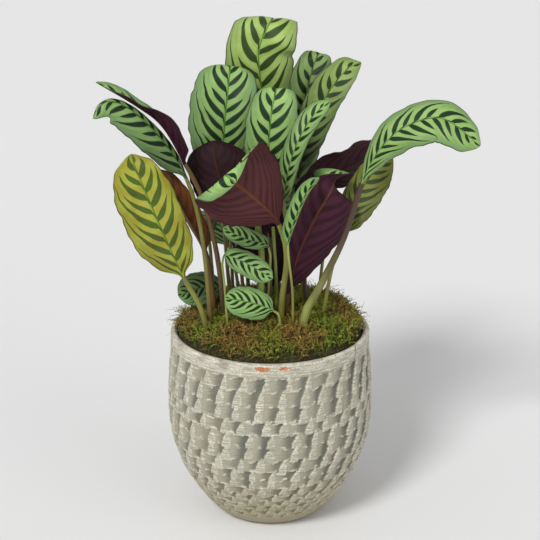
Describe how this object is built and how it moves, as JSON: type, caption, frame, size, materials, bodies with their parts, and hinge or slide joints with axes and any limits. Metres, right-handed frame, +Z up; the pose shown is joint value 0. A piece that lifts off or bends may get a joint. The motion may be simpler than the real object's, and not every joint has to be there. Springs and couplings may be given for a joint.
{
  "type": "potted calathea",
  "caption": "Potted calathea with patterned leaves on long stalks, standing in moss in a round relief patterned pot.",
  "frame": {"origin": "centre of the pot's flat foot, on the surface that it stands on", "axes": "+Z up; -Y towards the front of the plant; +X to the right, seen from the front"},
  "size_m": [0.2979, 0.2232, 0.4098],
  "materials": {
    "glazed_clay": "satin",
    "potting_soil": "matte",
    "moss": "matte",
    "patterned_leaf": "satin",
    "cut_stalk": "satin"
  },
  "bodies": {
    "root": {"pot": "glazed_clay", "soil": "potting_soil", "moss": "moss", "leaf_01": "patterned_leaf", "leaf_02": "patterned_leaf", "leaf_03": "patterned_leaf", "leaf_04": "patterned_leaf", "leaf_05": "patterned_leaf", "leaf_06": "patterned_leaf", "leaf_07": "patterned_leaf", "leaf_08": "patterned_leaf", "leaf_09": "patterned_leaf", "leaf_10": "patterned_leaf", "leaf_11": "patterned_leaf", "leaf_12": "patterned_leaf", "leaf_13": "patterned_leaf", "leaf_14": "patterned_leaf", "leaf_15": "patterned_leaf", "leaf_16": "patterned_leaf", "leaf_17": "patterned_leaf", "leaf_18": "patterned_leaf", "leaf_19": "patterned_leaf", "leaf_20": "patterned_leaf", "leaf_21": "patterned_leaf", "leaf_22": "patterned_leaf", "leaf_23": "patterned_leaf", "leaf_24": "patterned_leaf", "leaf_25": "patterned_leaf", "leaf_26": "patterned_leaf", "leaf_27": "patterned_leaf", "leaf_28": "patterned_leaf", "leaf_29": "patterned_leaf", "leaf_30": "patterned_leaf", "leaf_31": "patterned_leaf", "leaf_32": "patterned_leaf", "leaf_33": "patterned_leaf", "cut_stalk_1": "cut_stalk", "cut_stalk_2": "cut_stalk"}
  },
  "joints": []
}
